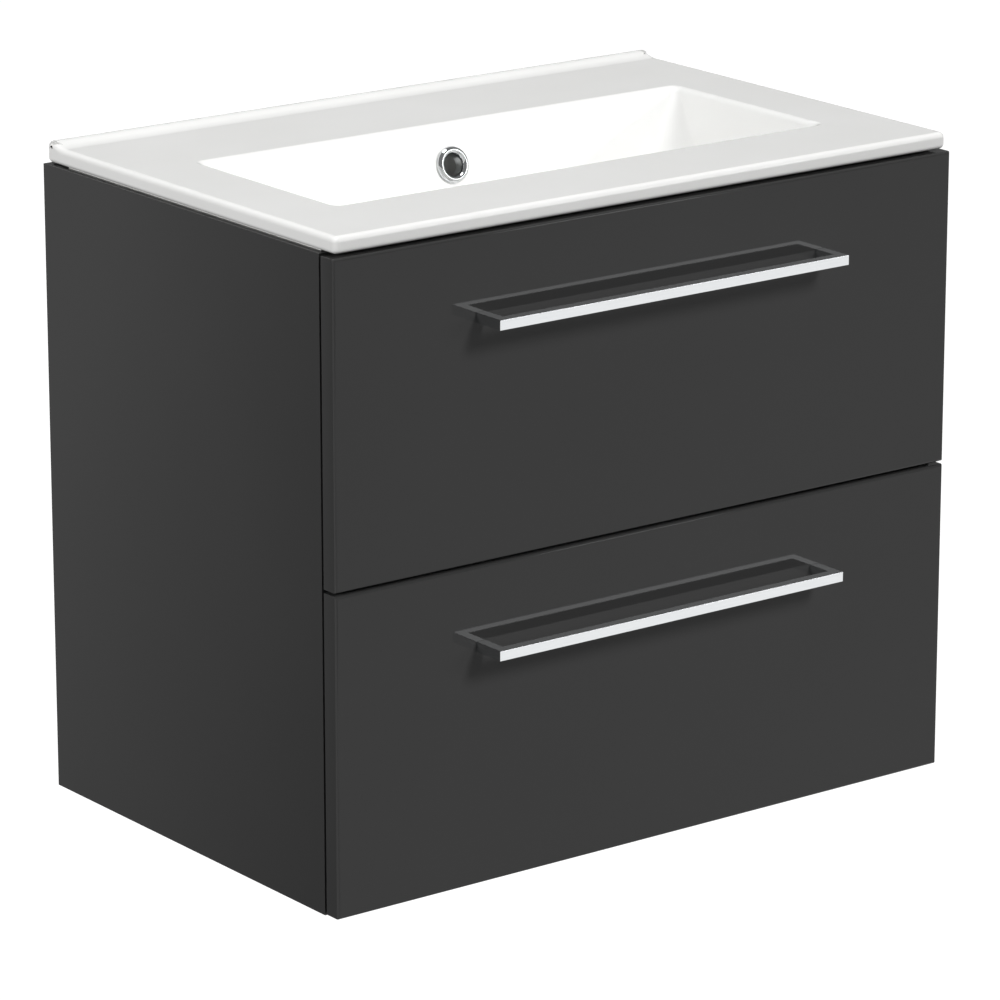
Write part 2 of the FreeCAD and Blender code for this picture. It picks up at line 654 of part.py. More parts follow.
# ---- basin ----
def basin():
    body = new_body("basin_casting")
    lip_top = f"({deck} + Sizes.lip_height)"
    lip_foot = "(-Sizes.lip_width - Sizes.lip_slope)"
    profile = new_sketch(body, "slab_profile", "YZ_Plane", "0")
    polygon(profile, [
        (basin_front, slab_bottom),
        ("0", slab_bottom),
        ("0", lip_top),
        ("-Sizes.lip_width", lip_top),
        (lip_foot, deck),
        (basin_front, deck),
    ])
    slab = pad(body, profile, f"2 * {basin_half}", symmetric=True)
    slab = fillet(body, slab, "Sizes.lip_crest_radius",
                  lambda edge: lies_at(edge, "Y", "-Sizes.lip_width") and lies_at(edge, "Z", lip_top))
    slab = fillet(body, slab, "Sizes.lip_cove_radius",
                  lambda edge: lies_at(edge, "Y", lip_foot) and lies_at(edge, "Z", deck))
    slab = fillet(body, slab, "Sizes.slab_corner_radius",
                  lambda edge: (lies_at(edge, "X", f"-{basin_half}") or lies_at(edge, "X", basin_half))
                  and (lies_at(edge, "Y", "0") or lies_at(edge, "Y", basin_front)))
    above = number(f"{deck} - 1")
    slab = fillet(body, slab, "Sizes.slab_top_radius",
                  lambda edge: edge.BoundBox.ZMin > above and not inside_slab(edge))
    slab = fillet(body, slab, "Sizes.slab_bottom_radius", lambda edge: lies_at(edge, "Z", slab_bottom))

    wall = "Sizes.bowl_wall"
    outer_mouth = new_sketch(body, "outer_mouth", "XY_Plane", slab_bottom)
    rounded_rectangle(outer_mouth, (f"-{bowl_half} - {wall}", f"{bowl_half} + {wall}"),
                      (f"{bowl_front} - {wall}", f"{bowl_rear} + {wall}"), f"Sizes.bowl_mouth_corner + {wall}")
    outer_floor = new_sketch(body, "outer_floor", "XY_Plane", f"{bowl_floor} - {wall}")
    floor_half = f"({bowl_half} - Sizes.bowl_side_slope)"
    floor_front = f"({bowl_front} + Sizes.bowl_end_slope)"
    floor_rear = f"({bowl_rear} - Sizes.bowl_end_slope)"
    rounded_rectangle(outer_floor, (f"-{floor_half} - {wall}", f"{floor_half} + {wall}"),
                      (f"{floor_front} - {wall}", f"{floor_rear} + {wall}"), f"Sizes.bowl_floor_corner + {wall}")
    loft(body, "PartDesign::AdditiveLoft", "bowl_outside", outer_mouth, outer_floor)

    boss = new_sketch(body, "waste_boss", "XY_Plane", f"{bowl_floor} - Sizes.waste_length")
    circle(boss, "0", waste_y, "Sizes.waste_boss_radius")
    pad(body, boss, f"Sizes.waste_length - {wall} / 2")

    channel_half = "(Sizes.channel_width / 2)"
    channel_wall = "Sizes.channel_wall"
    duct_top = f"{overflow_z} + Sizes.overflow_radius + {wall} / 2"
    duct_bottom = f"{bowl_floor} - {wall}"
    duct_rear = f"({bowl_rear} + Sizes.channel_depth)"
    duct = new_sketch(body, "duct_outside", "XZ_Plane", f"-({duct_rear} + {channel_wall})")
    polygon(duct, [
        (f"-{channel_half} - {channel_wall}", f"{duct_bottom} - Sizes.channel_depth - {channel_wall}"),
        (f"{channel_half} + {channel_wall}", f"{duct_bottom} - Sizes.channel_depth - {channel_wall}"),
        (f"{channel_half} + {channel_wall}", f"{duct_top} + {channel_wall}"),
        (f"-{channel_half} - {channel_wall}", f"{duct_top} + {channel_wall}"),
    ])
    duct_pad = pad(body, duct, f"{duct_rear} + {channel_wall} - {waste_y}")

    inner_mouth = new_sketch(body, "inner_mouth", "XY_Plane", deck)
    rounded_rectangle(inner_mouth, (f"-{bowl_half}", bowl_half), (bowl_front, bowl_rear),
                      "Sizes.bowl_mouth_corner")
    inner_floor = new_sketch(body, "inner_floor", "XY_Plane", bowl_floor)
    rounded_rectangle(inner_floor, (f"-{floor_half}", floor_half), (floor_front, floor_rear),
                      "Sizes.bowl_floor_corner")
    before = duct_pad.Shape.Volume
    bowl = loft(body, "PartDesign::SubtractiveLoft", "bowl_inside", inner_mouth, inner_floor)
    if bowl.Shape.Volume >= before:
        raise RuntimeError("the bowl was not cut out of the basin")
    mouth_edges = number(f"{bowl_half} + 1")
    bowl = fillet(body, bowl, "Sizes.bowl_floor_radius",
                  lambda edge: lies_at(edge, "Z", bowl_floor) and edge.BoundBox.XMax < mouth_edges
                  and edge.Length > 50)
    bowl = fillet(body, bowl, "Sizes.bowl_mouth_radius",
                  lambda edge: lies_at(edge, "Z", deck) and inside_mouth(edge))
    doc.recompute()

    # the waste hole, and the overflow's passage behind the bowl that drops into it
    overflow_bore = rod("overflow_bore", "Sizes.overflow_radius", ("0", "0", "0"), "+Z", "Sizes.overflow_bore")
    into_wall = "(Sizes.overflow_bore - Sizes.ring_proud)"
    face_into_bowl(overflow_bore, ("0", f"{overflow_wall_y} + {into_wall} * cos({wall_tilt})",
                                   f"{overflow_z} - {into_wall} * sin({wall_tilt})"))
    spaces = [
        rod("waste_bore", "Sizes.waste_radius", ("0", waste_y, f"{bowl_floor} + 1"), "-Z",
            "Sizes.waste_length + 2"),
        overflow_bore,
        block("overflow_drop_space", (f"-{channel_half}", channel_half),
              (f"{bowl_rear} - Sizes.fit_gap", duct_rear),
              (f"{duct_bottom} - Sizes.channel_depth", duct_top)),
        block("overflow_return_space", (f"-{channel_half}", channel_half), (waste_y, duct_rear),
              (f"{duct_bottom} - Sizes.channel_depth", duct_bottom)),
    ]
    keep(cut("basin", body, union("basin_passages", spaces)))


def inside_slab(edge):
    # an edge that crosses the deck, where the lip's slope meets it or the lip's top
    box = edge.BoundBox
    return box.XLength > number(f"{basin_half}") and box.YMax < -1 and box.YMin > number(f"{basin_front} + 1")


def inside_mouth(edge):
    box = edge.BoundBox
    half = number(f"{bowl_half} + 1")
    return box.XMax < half and box.XMin > -half and box.YMin > number(f"{bowl_front} - 1")


def circle(sketch, x, y, radius):
    centre = Vector(number(x), number(y), 0)
    sketch.addGeometry(Part.Circle(centre, Vector(0, 0, 1), number(radius)), False)
    index = sketch.addConstraint(Sketcher.Constraint("Radius", 0, number(radius)))
    sketch.setExpression(f"Constraints[{index}]", str(radius))
    fix_point(sketch, 0, 3, x, y)


def loft(body, kind, name, first, last):
    feature = body.newObject(kind, name)
    feature.Profile = first
    feature.Sections = [last]
    feature.Ruled = True
    doc.recompute()
    return feature


def seal():
    # the bead that the basin is bedded on, round the top of the carcass
    outer_x = f"({half_width} - Sizes.seal_inset)"
    outer_front = f"({carcass_front} + Sizes.seal_inset)"
    outer_rear = f"({upper_rail_back} - Sizes.seal_inset)"
    height = (carcass_top, slab_bottom)
    wide = "Sizes.seal_width"
    outside = block("seal_outside", (f"-{outer_x}", outer_x), (outer_front, outer_rear), height)
    inside = block("seal_inside", (f"-{outer_x} + {wide}", f"{outer_x} - {wide}"),
                   (f"{outer_front} + {wide}", f"{outer_rear} - {wide}"), height)
    keep(cut("basin_seal", outside, inside))


def overflow_ring():
    # a domed ring round a collar that pushes into the overflow hole, square to the sloping rear wall
    body = new_body("overflow_ring")
    profile = new_sketch(body, "ring_profile", "XZ_Plane", "0")
    collar = "Sizes.overflow_radius - Sizes.fit_gap"
    polygon(profile, [
        ("Sizes.ring_inner_radius", "-Sizes.ring_collar"),
        (collar, "-Sizes.ring_collar"),
        (collar, "0"),
        ("Sizes.ring_outer_radius", "0"),
        ("Sizes.ring_outer_radius", "Sizes.ring_edge"),
        ("Sizes.ring_outer_radius - Sizes.ring_proud / 2", "Sizes.ring_shoulder"),
        ("(Sizes.ring_outer_radius + Sizes.ring_inner_radius) / 2", "Sizes.ring_proud"),
        ("Sizes.ring_inner_radius + Sizes.ring_edge", "Sizes.ring_shoulder"),
        ("Sizes.ring_inner_radius", "Sizes.ring_proud / 2"),
    ])
    turned = body.newObject("PartDesign::Revolution", "ring_turned")
    turned.Profile = profile
    turned.ReferenceAxis = (profile, ["V_Axis"])
    turned.Angle = 360
    face_into_bowl(body, ("0", overflow_wall_y, overflow_z))
    keep(body)


def face_into_bowl(thing, point):
    # turns the thing's own Z from straight up to the rear wall's normal
    thing.Placement = FreeCAD.Placement(Vector(), Rotation(Vector(1, 0, 0), 60))
    thing.setExpression("Placement.Rotation.Angle", f"90 deg - {wall_tilt}")
    place(thing, point)


# ---- runners: a channel on the side panel, a smaller one inside it, and a hat section on the drawer ----
def member(name, side, level, outline):
    # outline points are (distance from the side panel's inner face, height from the runner's middle)
    body = new_body(name + "_section")
    sketch = new_sketch(body, name + "_outline", "XZ_Plane", f"-{runner_back}")
    corners = []
    for inward, height in outline:
        corners.append((towards(side, f"{inner_half} - ({inward})"), f"{runner_z(level)} + {height}"))
    polygon(sketch, corners)
    pad(body, sketch, "Sizes.runner_length")
    return body


def channel(near, far, half):
    # a C section with lips that turn in, open towards the drawer
    steel = "Sizes.runner_steel"
    lip = f"({half} - {steel} - Sizes.runner_lip)"
    upper = [
        (f"{near} + {steel}", f"({half} - {steel})"),
        (f"{far} - {steel}", f"({half} - {steel})"),
        (f"{far} - {steel}", lip),
        (far, lip),
        (far, half),
        (near, half),
    ]
    lower = [(inward, f"(-{height})") for inward, height in reversed(upper)]
    return upper + lower


def hat(near, half, waist):
    # a hat section whose brim runs inside the middle member's lips and whose crown is on the drawer
    steel = "Sizes.runner_steel"
    far = "Sizes.runner_thickness"
    upper = [
        (f"{far} - {steel}", f"({waist} - {steel})"),
        (near, f"({waist} - {steel})"),
        (near, half),
        (f"{near} + {steel}", half),
        (f"{near} + {steel}", waist),
        (far, waist),
    ]
    lower = [(inward, f"(-{height})") for inward, height in reversed(upper)]
    return upper + lower


middle_near = "(Sizes.runner_steel + Sizes.run_gap)"
middle_far = "(Sizes.runner_flange - Sizes.runner_steel - Sizes.run_gap)"
middle_half = f"(Sizes.runner_half_height - {middle_near})"
brim_near = f"({middle_near} + {middle_near})"
brim_half = f"({middle_half} - {middle_near})"
waist_half = f"({middle_half} - Sizes.runner_steel - Sizes.runner_lip - Sizes.run_gap)"


def fixed_members(member_holes):
    screws = []
    for level in levels:
        for side in sides:
            name = f"{level}_{side}_cabinet_member"
            section = member(name, side, level, channel("0", "Sizes.runner_flange", "Sizes.runner_half_height"))
            keep(cut(name, section, union(name + "_holes", member_holes[side])))
            for count, site in enumerate(cabinet_member_screw_sites(level, side)):
                screws.append(screw(f"{level}_{side}_member_screw_{count}", site, outwards(side),
                                    "Sizes.side_screw_length", flat=True))
    keep(group("cabinet_member_screws", screws))


def middle_members():
    for level in levels:
        for side in sides:
            section = member(f"{level}_{side}_middle", side, level, channel(middle_near, middle_far, middle_half))
            section.Label = f"{level}_{side}_middle_member"
            keep(section)


def drawer_members(level):
    # gives the pilot holes that the box sides share with the members
    screws = []
    pilot_holes = {}
    for side in sides:
        name = f"{level}_{side}_drawer_member"
        x = towards(side, f"{inner_half} - Sizes.runner_thickness + Sizes.runner_steel")
        holes = []
        for count, step in enumerate(runner_screws):
            site = (x, f"{runner_front} + {step}", runner_z(level))
            screws.append(screw(f"{name}_screw_{count}", site, inwards(side), "Sizes.box_screw_length"))
            holes.append(screw_hole(f"{name}_hole_{count}", site, inwards(side), "Sizes.box_screw_length"))
        section = member(name, side, level, hat(brim_near, brim_half, waist_half))
        pilot_holes[side] = group(name + "_holes", holes)
        keep(cut(name, section, pilot_holes[side]))
    keep(group(f"{level}_drawer_member_screws", screws))
    return pilot_holes


# ---- drawers ----
def drawer_front(level, holes):
    body = new_body(f"{level}_front_panel")
    low = levels[level]
    high = f"({low} + {front_height})"
    outline = new_sketch(body, f"{level}_front_outline", "XZ_Plane", f"-{front_back}")
    polygon(outline, [(f"-{half_width}", low), (half_width, low), (half_width, high), (f"-{half_width}", high)])
    slab = pad(body, outline, "Sizes.front_thickness")
    fillet(body, slab, "Sizes.front_edge_radius", lambda edge: lies_at(edge, "Y", front_face))
    keep(cut(f"{level}_drawer_front", body, group(f"{level}_front_holes", holes)))


def handle(level, holes):
    # a square-section bar with a leg at each end, mitred into one loop against the front
    body = new_body(f"{level}_handle_bar")
    end = "(Sizes.handle_length / 2)"
    leg = f"({end} - Sizes.handle_width)"
    bar_front = f"({front_face} - Sizes.handle_projection)"
    bar_back = f"({bar_front} + Sizes.handle_width)"
    outline = new_sketch(body, f"{level}_handle_outline", "XY_Plane", handle_z(level))
    polygon(outline, [
        (f"-{end}", front_face),
        (f"-{end}", bar_front),
        (end, bar_front),
        (end, front_face),
        (leg, front_face),
        (leg, bar_back),
        (f"-{leg}", bar_back),
        (f"-{leg}", front_face),
    ])
    bar = pad(body, outline, "Sizes.handle_height", symmetric=True)
    fillet(body, bar, "Sizes.handle_edge_radius", lambda edge: not lies_at(edge, "Y", front_face))
    keep(cut(f"{level}_handle", body, group(f"{level}_handle_holes", holes)))


def front_and_handle(level):
    # gives the holes that the box front shares with the drawer front
    screws, holes, handle_screws, handle_holes = [], [], [], []
    box_face = f"{front_back} + Sizes.box_board"
    rows = (f"{box_bottom(level)} + Sizes.box_base + Sizes.front_screw_inset_z",
            f"{box_top(level)} - Sizes.front_screw_inset_z")
    for side in sides:
        for count, z in enumerate(rows):
            name = f"{level}_{side}_front_screw_{count}"
            site = (towards(side, f"{box_half} - Sizes.front_screw_inset_x"), box_face, z)
            screws.append(screw(name, site, "-Y", "Sizes.front_screw_length"))
            holes.append(screw_hole(name + "_hole", site, "-Y", "Sizes.front_screw_length"))
        name = f"{level}_{side}_handle_screw"
        site = (towards(side, "(Sizes.handle_length - Sizes.handle_width) / 2"), front_back, handle_z(level))
        handle_screws.append(screw(name, site, "-Y", "Sizes.handle_screw_length"))
        handle_holes.append(screw_hole(name + "_hole", site, "-Y", "Sizes.handle_screw_length"))
    drawer_front(level, holes + handle_holes)
    handle(level, handle_holes)
    keep(group(f"{level}_front_screws", screws))
    keep(group(f"{level}_handle_screws", handle_screws))
    return holes


def bumper_pads(level):
    pads = []
    low = levels[level]
    for side in sides:
        for count, z in enumerate((f"{low} + Sizes.pad_inset", f"{low} + {front_height} - Sizes.pad_inset")):
            site = (towards(side, f"{half_width} - Sizes.board / 2"), front_back, z)
            pads.append(rod(f"{level}_{side}_pad_{count}", "Sizes.pad_radius", site, "+Y",
                            "Sizes.front_reveal - Sizes.run_gap"))
    keep(group(f"{level}_bumper_pads", pads))


def drawer_box(level, pilot_holes, front_holes):
    board = "Sizes.box_board"
    base_top = f"({box_bottom(level)} + Sizes.box_base)"
    z = (base_top, box_top(level))
    inside = f"({box_half} - {board})"
    depth = (front_back, runner_back)
    back_depth = (f"{runner_back} - {board}", runner_back)
    for side in sides:
        blank = block(f"{level}_{side}_box_side_blank", span(side, inside, box_half), depth, z)
        keep(cut(f"{level}_{side}_box_side", blank, pilot_holes[side]))
    blank = block(f"{level}_box_front_blank", (f"-{inside}", inside), (front_back, f"{front_back} + {board}"), z)
    keep(cut(f"{level}_box_front", blank, group(f"{level}_box_front_holes", front_holes)))
    base_blank = block(f"{level}_box_base_blank", (f"-{box_half}", box_half), depth, (box_bottom(level), base_top))
    if level == "lower":
        base_blank.Label = "lower_box_base"
        keep(base_blank)
        keep(block("lower_box_back", (f"-{inside}", inside), back_depth, z))
        return
    # the upper box is open at the back round the basin's waste pipe
    opening = block("cutout_opening", (f"-{cutout_half}", cutout_half), (cutout_clear, f"{runner_back} + {board}"),
                    (f"{box_bottom(level)} - 1", f"{base_top} + 1"))
    keep(cut("upper_box_base", base_blank, opening))
    outer = f"({cutout_half} + {board})"
    keep(block("cutout_front", (f"-{outer}", outer), (f"{cutout_clear} - {board}", cutout_clear), z))
    for side in sides:
        keep(block(f"cutout_{side}_side", span(side, cutout_half, outer), (cutout_clear, runner_back), z))
        keep(block(f"upper_{side}_box_back", span(side, outer, inside), back_depth, z))


def drawer(level):
    pilot_holes = drawer_members(level)
    front_holes = front_and_handle(level)
    drawer_box(level, pilot_holes, front_holes)
    bumper_pads(level)


panel_and_member_holes = carcass()
hangers()
basin()
overflow_ring()
seal()
fixed_members(panel_and_member_holes)
middle_members()
for level_name in levels:
    drawer(level_name)
doc.recompute()

for thing in doc.Objects:
    if "Invalid" in thing.State or "Error" in thing.State:
        raise RuntimeError(f"{thing.Name} did not build: {thing.State}")
for thing in sub_parts:
    if thing.Shape.isNull() or not thing.Shape.isValid():
        raise RuntimeError(f"{thing.Label} has no valid shape")
os.makedirs("parts", exist_ok=True)
for thing in sub_parts:
    thing.Shape.exportStep(f"parts/{thing.Label}.step")
    print(thing.Label, len(thing.Shape.Solids), round(thing.Shape.Volume))
print(len(sub_parts), "sub-parts")
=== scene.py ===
import json
import math
import bmesh
import bpy
from mathutils import Matrix, Vector

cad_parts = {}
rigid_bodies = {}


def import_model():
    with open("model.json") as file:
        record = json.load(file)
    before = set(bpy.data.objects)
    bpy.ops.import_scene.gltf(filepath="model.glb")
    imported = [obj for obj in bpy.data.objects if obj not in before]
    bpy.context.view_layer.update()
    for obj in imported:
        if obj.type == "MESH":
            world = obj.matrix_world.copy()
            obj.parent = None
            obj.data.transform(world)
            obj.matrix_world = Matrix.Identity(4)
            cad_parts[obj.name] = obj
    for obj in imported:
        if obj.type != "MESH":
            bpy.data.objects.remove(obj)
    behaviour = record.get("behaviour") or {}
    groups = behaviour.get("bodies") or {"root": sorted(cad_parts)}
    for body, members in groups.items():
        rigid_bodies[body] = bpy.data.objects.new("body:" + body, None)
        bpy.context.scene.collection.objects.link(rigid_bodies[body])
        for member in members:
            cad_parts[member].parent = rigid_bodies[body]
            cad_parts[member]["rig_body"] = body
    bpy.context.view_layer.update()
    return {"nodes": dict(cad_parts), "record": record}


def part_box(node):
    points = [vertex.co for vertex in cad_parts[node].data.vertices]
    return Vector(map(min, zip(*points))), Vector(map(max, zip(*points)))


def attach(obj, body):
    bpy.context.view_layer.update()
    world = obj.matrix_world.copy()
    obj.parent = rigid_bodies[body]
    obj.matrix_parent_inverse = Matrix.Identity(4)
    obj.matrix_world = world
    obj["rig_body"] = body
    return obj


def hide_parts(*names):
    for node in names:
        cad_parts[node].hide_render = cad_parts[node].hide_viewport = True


# Wall-hung vanity unit: two gloss drawers under a ceramic basin. Metres, the wall is y = 0.
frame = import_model()
print("stage: frame loaded,", len(frame["nodes"]), "nodes")


# camera, lights and floor
view = {
    "lookAt": (-0.0121, -0.2171, 0.2449),
    "azimuth": -37.07,
    "elevation": 16.33,
    "distance": 4.386,
    "lens": 192.9,
    "farthest": 100,
}
studio = {
    "floorHeight": -0.303,      # the rim then stands 850 mm above the floor
    "floorSize": 24,
    "floorColour": "fafafa",
    "floorGlow": 0.95,
    "floorGrey": 0.22,
    "floorRoughness": 0.9,
    "backdropRadius": 24,
    "skyStrength": 0.21,
    "underneath": 0.05,         # what the unit's lower faces see
    "horizonBlend": 0.1,
    "keyTurn": 18,
    "keyRise": 36,
    "keySpread": 16,
    "keyPower": 1.72,
    "lamps": (
        # name, place, aimed at, size, power, seen in reflections
        ("frontRightSoftbox", (2.15, -3.15, 1.3), (0, -0.43, 0.33), 0.9, 12.7, True),
        ("overheadLamp", (0, -0.35, 2.95), (0, -0.2, 0.54), 0.8, 29, True),
        ("leftFill", (-3.2, -0.3, 1.1), (0, -0.2, 0.3), 1.5, 60, False),
        ("backFill", (1.6, 3.2, 1.4), (0, -0.1, 0.3), 1.5, 24, False),
    ),
}


def addCamera():
    data = bpy.data.cameras.new("vanityCamera")
    data.lens = view["lens"]
    data.clip_end = view["farthest"]
    camera = bpy.data.objects.new("vanityCamera", data)
    bpy.context.scene.collection.objects.link(camera)
    turn, rise = math.radians(view["azimuth"]), math.radians(view["elevation"])
    back = Vector((math.sin(turn) * math.cos(rise), -math.cos(turn) * math.cos(rise), math.sin(rise)))
    camera.location = Vector(view["lookAt"]) + back * view["distance"]
    camera.rotation_euler = (-back).to_track_quat("-Z", "Y").to_euler()
    bpy.context.scene.camera = camera


def addLamp(name, place, aim, size, power, mirrored):
    data = bpy.data.lights.new(name, "AREA")
    data.shape = "SQUARE"
    data.size = size
    data.energy = power
    lamp = bpy.data.objects.new(name, data)
    bpy.context.scene.collection.objects.link(lamp)
    lamp.location = place
    lamp.visible_glossy = mirrored
    lamp.rotation_euler = (Vector(aim) - Vector(place)).to_track_quat("-Z", "Y").to_euler()


def addKey():
    # one wide, even light from the front, left out of the reflections
    data = bpy.data.lights.new("keyLight", "SUN")
    data.energy = studio["keyPower"]
    data.angle = math.radians(studio["keySpread"])
    key = bpy.data.objects.new("keyLight", data)
    bpy.context.scene.collection.objects.link(key)
    key.rotation_euler = (math.radians(90 - studio["keyRise"]), 0, math.radians(studio["keyTurn"]))
    key.visible_glossy = False


addCamera()
addKey()
for lamp in studio["lamps"]:
    addLamp(*lamp)
bpy.context.scene.view_settings.view_transform = "Standard"
print("stage: camera and lamps")


# shaders
def hexColour(code):
    # sRGB hex to the linear values that the shaders take
    shares = [int(code[at:at + 2], 16) / 255 for at in (0, 2, 4)]
    linear = [s / 12.92 if s <= 0.04045 else ((s + 0.055) / 1.055) ** 2.4 for s in shares]
    return (*linear, 1)


def addNode(tree, kind, settings=None, links=None):
    node = tree.nodes.new("ShaderNode" + kind)
    for name, value in (settings or {}).items():
        if name in node.inputs:
            node.inputs[name].default_value = value
        else:
            setattr(node, name, value)
    for name, source in (links or {}).items():
        tree.links.new(source, node.inputs[name])
    return node


def newMaterial(name, shaderSettings):
    made = bpy.data.materials.new(name)
    made.use_nodes = True
    tree = made.node_tree
    tree.nodes.clear()
    place = addNode(tree, "TexCoord").outputs["Object"]
    shader = addNode(tree, "BsdfPrincipled", shaderSettings)
    addNode(tree, "OutputMaterial", {}, {"Surface": shader.outputs["BSDF"]})
    return made, tree, place, shader


def wireSurface(tree, shader, look, tint, sheen, relief):
    # three patterns of one material: its tint, how rough it is, and the height of its skin
    blend = addNode(tree, "ValToRGB", {}, {"Fac": tint})
    blend.color_ramp.elements[0].color = hexColour(look["dark"])
    blend.color_ramp.elements[1].color = hexColour(look["light"])
    span = {"To Min": look["smoothest"], "To Max": look["roughest"]}
    gloss = addNode(tree, "MapRange", span, {"Value": sheen})
    bump = addNode(tree, "Bump", {"Strength": look["bump"], "Distance": look["depth"]}, {"Height": relief})
    tree.links.new(blend.outputs["Color"], shader.inputs["Base Color"])
    tree.links.new(gloss.outputs["Result"], shader.inputs["Roughness"])
    tree.links.new(bump.outputs["Normal"], shader.inputs["Normal"])


def glossLacquer():
    # MDF sprayed with polyurethane gloss lacquer and buffed: a deep dark grey mirror with a faint orange peel
    look = {"dark": "383838", "light": "3b3b3b", "cloudsPerMetre": 6, "peelMillimetres": 5,
            "smoothest": 0.04, "roughest": 0.08, "bump": 0.5, "depth": 0.000006}
    coat = {"IOR": 1.45, "Specular IOR Level": 0.2}
    made, tree, place, shader = newMaterial("glossAnthraciteLacquer", coat)
    scale = 1000 / look["peelMillimetres"]
    cloud = addNode(tree, "TexNoise", {"Scale": look["cloudsPerMetre"], "Detail": 2}, {"Vector": place})
    peel = addNode(tree, "TexNoise", {"Scale": scale, "Detail": 1}, {"Vector": place})
    wireSurface(tree, shader, look, cloud.outputs["Fac"], cloud.outputs["Fac"], peel.outputs["Fac"])
    return made


def melamine():
    # melamine paper pressed on chipboard: an even light grey whose fine grain breaks up the sheen
    look = {"dark": "b9babb", "light": "c4c5c5", "cloudsPerMetre": 14, "grainMillimetres": 0.8,
            "smoothest": 0.38, "roughest": 0.5, "bump": 0.4, "depth": 0.00003}
    made, tree, place, shader = newMaterial("pressedMelamine", {"IOR": 1.5})
    scale = 1000 / look["grainMillimetres"]
    cloud = addNode(tree, "TexNoise", {"Scale": look["cloudsPerMetre"], "Detail": 4}, {"Vector": place})
    grain = addNode(tree, "TexNoise", {"Scale": scale, "Detail": 2}, {"Vector": place})
    wireSurface(tree, shader, look, cloud.outputs["Fac"], grain.outputs["Fac"], grain.outputs["Fac"])
    return made


def glazedCeramic():
    # vitreous china under a fired white glaze: glassy, with long shallow waves where the glaze has flowed
    look = {"dark": "e9e9e7", "light": "f0f0ef", "cloudsPerMetre": 9, "waveMillimetres": 45,
            "smoothest": 0.05, "roughest": 0.09, "bump": 0.5, "depth": 0.00006}
    made, tree, place, shader = newMaterial("firedWhiteGlaze", {"IOR": 1.5})
    scale = 1000 / look["waveMillimetres"]
    cloud = addNode(tree, "TexNoise", {"Scale": look["cloudsPerMetre"], "Detail": 2}, {"Vector": place})
    wave = addNode(tree, "TexNoise", {"Scale": scale, "Detail": 1}, {"Vector": place})
    wireSurface(tree, shader, look, cloud.outputs["Fac"], cloud.outputs["Fac"], wave.outputs["Fac"])
    return made


def dieCastZinc():
    # zinc alloy, die cast and tumbled: dull grey with the mould's fine pebbled skin
    look = {"dark": "6b6e71", "light": "8a8d90", "pebbleMillimetres": 0.6,
            "smoothest": 0.4, "roughest": 0.58, "bump": 0.5, "depth": 0.00003}
    made, tree, place, shader = newMaterial("dieCastZinc", {"Metallic": 1.0})
    pebbles = addNode(tree, "TexVoronoi", {"Scale": 1000 / look["pebbleMillimetres"]}, {"Vector": place})
    height = pebbles.outputs["Distance"]
    wireSurface(tree, shader, look, height, height, height)
    return made


def finelyMarked(name, shaderSettings, look):
    # materials whose one fine mark sets tint, sheen and height alike, stretched along the way it was worked
    made, tree, place, shader = newMaterial(name, shaderSettings)
    if "stretch" in look:
        place = addNode(tree, "Mapping", {"Scale": look["stretch"]}, {"Vector": place}).outputs["Vector"]
    fineness = {"Scale": 1000 / look["markMillimetres"], "Detail": look["detail"]}
    marks = addNode(tree, "TexNoise", fineness, {"Vector": place}).outputs["Fac"]
    wireSurface(tree, shader, look, marks, marks, marks)
    return made


finelyMarkedLooks = {
    # brass or zinc plated with bright chrome and polished: a clear mirror with hair-fine wiping marks
    "chrome": ("polishedChromePlate", {"Metallic": 1.0}, {
        "dark": "d7d9db", "light": "e1e3e4", "markMillimetres": 1.5, "detail": 2, "stretch": (0.05, 1, 1),
        "smoothest": 0.03, "roughest": 0.08, "bump": 0.3, "depth": 0.000002}),
    # cold-rolled strip, zinc plated: bluish silver with rolling streaks along the runner
    "zinc_plated_steel": ("zincPlatedRolledSteel", {"Metallic": 1.0}, {
        "dark": "9fa5aa", "light": "c0c5c9", "markMillimetres": 0.9, "detail": 3, "stretch": (1, 0.03, 1),
        "smoothest": 0.2, "roughest": 0.36, "bump": 0.5, "depth": 0.000006}),
    # cold-headed screws, barrel plated: brighter on the ridges that rub together, duller between
    "screw_steel": ("barrelPlatedScrewSteel", {"Metallic": 1.0}, {
        "dark": "85898d", "light": "b5b9bc", "markMillimetres": 1.2, "detail": 3,
        "smoothest": 0.25, "roughest": 0.42, "bump": 0.5, "depth": 0.00001}),
    # beech rod, planed and cut: warm tan with short darker flecks along the grain
    "beech": ("planedBeech", {"IOR": 1.5}, {
        "dark": "a9794a", "light": "cda273", "markMillimetres": 0.9, "detail": 4, "stretch": (0.15, 1, 1),
        "smoothest": 0.55, "roughest": 0.7, "bump": 0.6, "depth": 0.00002}),
    # ABS, injection moulded in a spark-eroded tool: soft white with a fine even texture
    "white_plastic": ("mouldedWhiteAbs", {"IOR": 1.5}, {
        "dark": "dcdcda", "light": "e6e6e4", "markMillimetres": 0.5, "detail": 2,
        "smoothest": 0.35, "roughest": 0.48, "bump": 0.5, "depth": 0.00002}),
    # clear polyurethane domes, cast on tape: milky and slightly tacky looking
    "clear_rubber": ("castClearPolyurethane", {"IOR": 1.49, "Subsurface Weight": 0.2}, {
        "dark": "c9c9c5", "light": "dededb", "markMillimetres": 1, "detail": 2,
        "smoothest": 0.2, "roughest": 0.35, "bump": 0.4, "depth": 0.00001}),
    # sanitary silicone, gunned and tooled by hand: satin white with slight waves along the bead
    "silicone": ("tooledSilicone", {"IOR": 1.41}, {
        "dark": "d2d2d0", "light": "dededc", "markMillimetres": 12, "detail": 2,
        "smoothest": 0.3, "roughest": 0.42, "bump": 0.5, "depth": 0.0001}),
}
